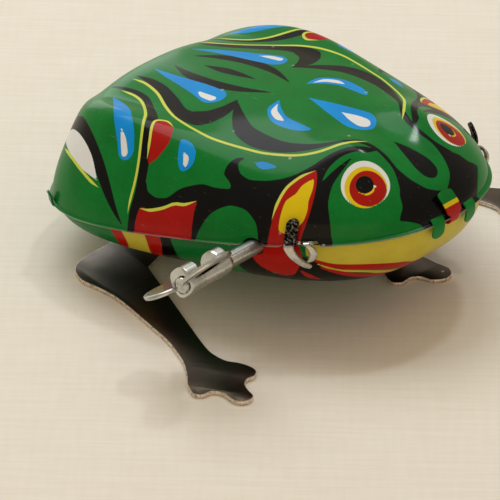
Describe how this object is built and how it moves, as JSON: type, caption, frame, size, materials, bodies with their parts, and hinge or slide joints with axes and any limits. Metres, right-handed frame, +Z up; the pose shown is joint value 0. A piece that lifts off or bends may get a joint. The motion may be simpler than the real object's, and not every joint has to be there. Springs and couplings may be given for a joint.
{
  "type": "wind-up jumping frog",
  "caption": "Tinplate wind-up frog: printed two-part body shell around a spring clockwork that turns a snail cam and kicks flat steel rear legs; stamped key at the side.",
  "frame": {"origin": "on the ground plane, below the middle of the body's length and width", "axes": "+X towards the nose, +Y towards the frog's left, +Z up; the winding key is on the -Y side"},
  "size_m": [0.0768, 0.0962, 0.0322],
  "materials": {
    "printed_tin_green": "glossy lithographed tinplate, green ground with black, blue, white, red and yellow print",
    "printed_tin_yellow": "glossy lithographed tinplate, yellow ground with red, green and black print",
    "blued_steel": "dark blued sheet steel, satin, with bright cut edges",
    "nickel_plate": "nickel-plated stamped steel, semi-bright",
    "bare_tinplate": "plain tinplate",
    "bright_steel": "turned and pressed steel",
    "spring_steel": "blue tempered spring steel",
    "brass": "stamped brass, satin"
  },
  "bodies": {
    "body": {"upper_shell": "printed_tin_green", "lower_shell": "printed_tin_yellow", "frame_plate_right": "bare_tinplate", "frame_plate_left": "bare_tinplate", "frame_pillars": "bright_steel", "mainspring": "spring_steel", "front_foot": "blued_steel", "front_foot_rivets": "bright_steel"},
    "key_and_arbor": {"winding_arbor": "nickel_plate", "winding_key": "nickel_plate", "ratchet_wheel": "bright_steel"},
    "great_wheel": {"great_wheel": "brass", "click_pin": "bright_steel", "click_spring": "spring_steel"},
    "click": {"click": "bright_steel"},
    "second_wheel": {"second_arbor": "bright_steel", "second_pinion": "brass", "second_wheel": "brass"},
    "cam": {"cam_arbor": "bright_steel", "cam_pinion": "brass", "kick_cam": "bright_steel"},
    "rear_legs": {"hip_axle": "bright_steel", "hip_collars": "bright_steel", "rear_leg_right": "blued_steel", "rear_leg_left": "blued_steel", "kick_arm": "bright_steel", "kick_spring": "spring_steel"}
  },
  "joints": [
    {"name": "key_turn", "type": "hinge", "parent": "body", "child": "key_and_arbor", "pos_m": [0.016, 0, 0.0176], "axis": [0, 1, 0], "continuous": true},
    {"name": "great_wheel_turn", "type": "hinge", "parent": "body", "child": "great_wheel", "pos_m": [0.016, 0, 0.0176], "axis": [0, 1, 0], "continuous": true},
    {"name": "second_wheel_turn", "type": "hinge", "parent": "body", "child": "second_wheel", "pos_m": [0.0036, 0, 0.01599], "axis": [0, 1, 0], "continuous": true},
    {"name": "cam_turn", "type": "hinge", "parent": "body", "child": "cam", "pos_m": [-0.0065, 0, 0.0105], "axis": [0, 1, 0], "continuous": true},
    {"name": "leg_kick", "type": "hinge", "parent": "body", "child": "rear_legs", "pos_m": [-0.019, 0, 0.0085], "axis": [0, 1, 0], "range_deg": [0, 18], "deforming": ["kick_spring"]},
    {"name": "click_drop", "type": "hinge", "parent": "great_wheel", "child": "click", "pos_m": [0.0095, 0, 0.02135], "axis": [0, 1, 0], "range_deg": [0, 10]}
  ],
  "couplings": [
    {"joint": "second_wheel_turn", "follows": "great_wheel_turn", "ratio": -4},
    {"joint": "cam_turn", "follows": "great_wheel_turn", "ratio": 14.4}
  ]
}
